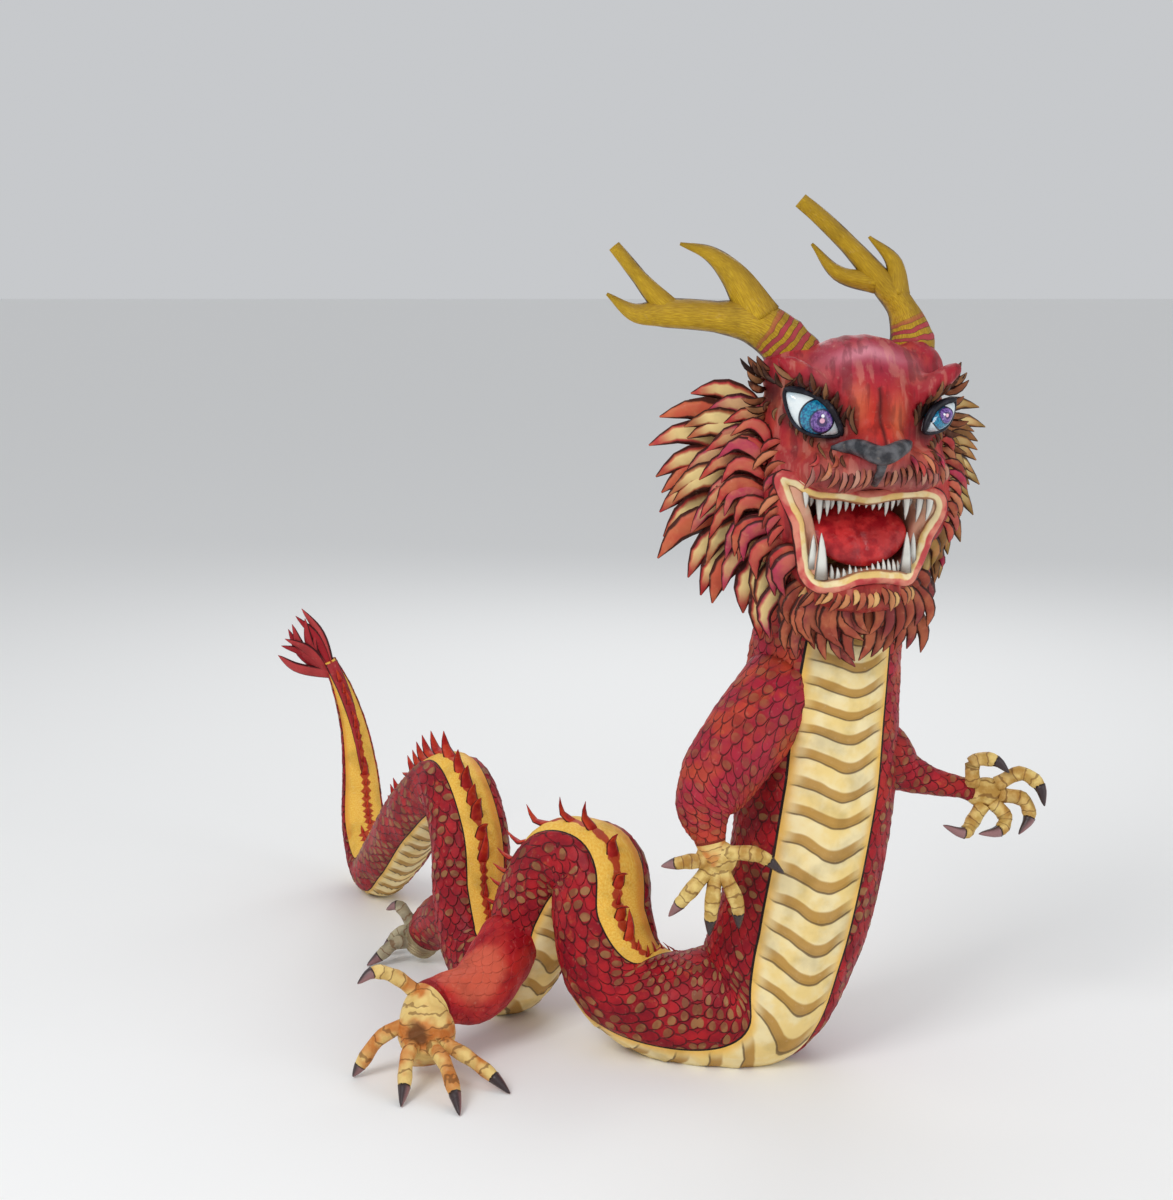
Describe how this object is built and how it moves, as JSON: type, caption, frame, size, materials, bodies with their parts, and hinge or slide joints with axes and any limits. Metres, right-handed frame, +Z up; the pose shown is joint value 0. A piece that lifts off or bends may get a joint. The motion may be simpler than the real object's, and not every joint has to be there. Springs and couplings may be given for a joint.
{
  "type": "dragon sculpture",
  "caption": "Free-standing cast dragon: raised head with antlers, mane and open jaws, scaled looping body with a banded belly, clawed feet and a tufted tail.",
  "frame": {"origin": "middle of the footprint's bounding box, on the ground", "axes": "+Z up, -Y is the front that the face looks towards, +X is the viewer's right seen from the front"},
  "size_m": [1.137, 1.0284, 1.1455],
  "materials": {
    "painted_cast": "hand-painted sand-and-cement casting, matt to satin, fine sandy grain"
  },
  "bodies": {
    "root": {"dragon": "painted_cast"}
  },
  "joints": []
}
